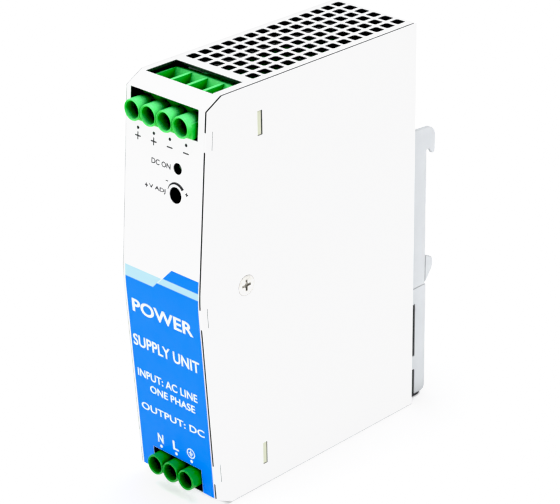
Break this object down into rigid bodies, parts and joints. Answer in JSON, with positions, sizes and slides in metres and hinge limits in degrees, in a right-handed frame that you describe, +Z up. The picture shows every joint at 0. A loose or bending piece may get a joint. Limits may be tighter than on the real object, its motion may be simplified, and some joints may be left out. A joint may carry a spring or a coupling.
{
  "type": "din rail power supply",
  "caption": "Slim sheet-steel switching power supply with screw terminals at the top and bottom of its front and a spring-loaded rail clip on its back.",
  "frame": {"origin": "on the underside of the case, under the middle of the whole object's box", "axes": "+Z up the case; the front with its terminals faces -Y and the rail clip is on the +Y side; +X to the right seen from the front"},
  "size_m": [0.032, 0.1002, 0.1252],
  "materials": {
    "case": "white powder coat, satin",
    "terminal_green": "moulded polyamide, slightly glossy",
    "steel": "nickel-plated",
    "brass": "plain brass",
    "clip": "light grey powder coat",
    "black_plastic": "moulded, matt",
    "board": "glass-epoxy board with solder mask",
    "film": "black insulating film",
    "aluminium": "mill finish",
    "ferrite": "sintered ferrite",
    "copper_wire": "enamelled copper",
    "tape": "polyester tape",
    "blue_part": "dipped resin",
    "yellow_part": "moulded box",
    "capacitor_sleeve": "shrink sleeve",
    "ceramic": "ceramic",
    "lamp": "tinted lens, unlit",
    "trimmer_blue": "moulded",
    "print_azure": "screen-printed ink",
    "print_pale": "screen-printed ink",
    "print_black": "screen-printed ink",
    "print_white": "screen-printed ink"
  },
  "bodies": {
    "case": {"chassis": "case", "front_cover": "case", "case_screws": "steel", "clinch_nuts": "steel", "insulating_sheet": "film", "main_board": "board", "output_board": "board", "input_board": "board", "board_standoffs": "brass", "board_screws": "steel", "output_terminal": "terminal_green", "input_terminal": "terminal_green", "output_contacts": "steel", "input_contacts": "steel", "trimmer_body": "trimmer_blue", "status_lamp": "lamp", "lamp_spacer": "black_plastic", "transformer_core": "ferrite", "transformer_bobbin": "black_plastic", "transformer_winding": "tape", "choke_core": "ferrite", "choke_winding": "copper_wire", "mains_filter_capacitor": "yellow_part", "safety_capacitors": "blue_part", "fuse": "ceramic", "varistor": "blue_part", "inrush_thermistor": "ferrite", "bridge_rectifier": "black_plastic", "bulk_capacitor": "capacitor_sleeve", "switch_transistor": "black_plastic", "primary_heatsink": "aluminium", "output_rectifier": "black_plastic", "secondary_heatsink": "aluminium", "output_capacitors": "capacitor_sleeve", "output_inductor": "copper_wire", "optocoupler": "black_plastic", "control_chip": "black_plastic", "heatsink_screws": "steel", "rail_bracket": "clip", "bracket_rivets": "steel", "latch_spring": "steel"},
    "output_screw_1": {"output_screw_1": "steel"},
    "output_cage_1": {"output_cage_1": "brass"},
    "output_screw_2": {"output_screw_2": "steel"},
    "output_cage_2": {"output_cage_2": "brass"},
    "output_screw_3": {"output_screw_3": "steel"},
    "output_cage_3": {"output_cage_3": "brass"},
    "output_screw_4": {"output_screw_4": "steel"},
    "output_cage_4": {"output_cage_4": "brass"},
    "input_screw_1": {"input_screw_1": "steel"},
    "input_cage_1": {"input_cage_1": "brass"},
    "input_screw_2": {"input_screw_2": "steel"},
    "input_cage_2": {"input_cage_2": "brass"},
    "input_screw_3": {"input_screw_3": "steel"},
    "input_cage_3": {"input_cage_3": "brass"},
    "trimmer": {"trimmer_rotor": "black_plastic"},
    "latch": {"rail_latch": "clip", "latch_slide": "black_plastic"}
  },
  "joints": [
    {"name": "output_screw_1_turn", "type": "hinge", "parent": "case", "child": "output_screw_1", "pos_m": [-0.01073, -0.0367, 0.11665], "axis": [0, 0, -1], "range_deg": [0, 1296.5]},
    {"name": "output_cage_1_rise", "type": "slide", "parent": "case", "child": "output_cage_1", "axis": [0, 0, 1], "range_m": [0, 0.0018]},
    {"name": "output_screw_2_turn", "type": "hinge", "parent": "case", "child": "output_screw_2", "pos_m": [-0.00438, -0.0367, 0.11665], "axis": [0, 0, -1], "range_deg": [0, 1296.5]},
    {"name": "output_cage_2_rise", "type": "slide", "parent": "case", "child": "output_cage_2", "axis": [0, 0, 1], "range_m": [0, 0.0018]},
    {"name": "output_screw_3_turn", "type": "hinge", "parent": "case", "child": "output_screw_3", "pos_m": [0.00198, -0.0367, 0.11665], "axis": [0, 0, -1], "range_deg": [0, 1296.5]},
    {"name": "output_cage_3_rise", "type": "slide", "parent": "case", "child": "output_cage_3", "axis": [0, 0, 1], "range_m": [0, 0.0018]},
    {"name": "output_screw_4_turn", "type": "hinge", "parent": "case", "child": "output_screw_4", "pos_m": [0.00833, -0.0367, 0.11665], "axis": [0, 0, -1], "range_deg": [0, 1296.5]},
    {"name": "output_cage_4_rise", "type": "slide", "parent": "case", "child": "output_cage_4", "axis": [0, 0, 1], "range_m": [0, 0.0018]},
    {"name": "input_screw_1_turn", "type": "hinge", "parent": "case", "child": "input_screw_1", "pos_m": [-0.00635, -0.0367, 0.0073], "axis": [0, 0, 1], "range_deg": [0, 1296.5]},
    {"name": "input_cage_1_rise", "type": "slide", "parent": "case", "child": "input_cage_1", "axis": [0, 0, -1], "range_m": [0, 0.0018]},
    {"name": "input_screw_2_turn", "type": "hinge", "parent": "case", "child": "input_screw_2", "pos_m": [0, -0.0367, 0.0073], "axis": [0, 0, 1], "range_deg": [0, 1296.5]},
    {"name": "input_cage_2_rise", "type": "slide", "parent": "case", "child": "input_cage_2", "axis": [0, 0, -1], "range_m": [0, 0.0018]},
    {"name": "input_screw_3_turn", "type": "hinge", "parent": "case", "child": "input_screw_3", "pos_m": [0.00635, -0.0367, 0.0073], "axis": [0, 0, 1], "range_deg": [0, 1296.5]},
    {"name": "input_cage_3_rise", "type": "slide", "parent": "case", "child": "input_cage_3", "axis": [0, 0, -1], "range_m": [0, 0.0018]},
    {"name": "trimmer_turn", "type": "hinge", "parent": "case", "child": "trimmer", "pos_m": [0.00472, -0.0381, 0.0957], "axis": [0, -1, 0], "range_deg": [-135, 135]},
    {"name": "latch_pull", "type": "slide", "parent": "case", "child": "latch", "axis": [0, 0, -1], "range_m": [0, 0.005], "stiffness_N_per_m": 1200, "springref_m": -0.004, "deforming": ["latch_spring"]}
  ],
  "couplings": [
    {"joint": "output_screw_1_turn", "follows": "output_cage_1_rise", "rad_per_m": 12566},
    {"joint": "output_screw_2_turn", "follows": "output_cage_2_rise", "rad_per_m": 12566},
    {"joint": "output_screw_3_turn", "follows": "output_cage_3_rise", "rad_per_m": 12566},
    {"joint": "output_screw_4_turn", "follows": "output_cage_4_rise", "rad_per_m": 12566},
    {"joint": "input_screw_1_turn", "follows": "input_cage_1_rise", "rad_per_m": 12566},
    {"joint": "input_screw_2_turn", "follows": "input_cage_2_rise", "rad_per_m": 12566},
    {"joint": "input_screw_3_turn", "follows": "input_cage_3_rise", "rad_per_m": 12566}
  ]
}
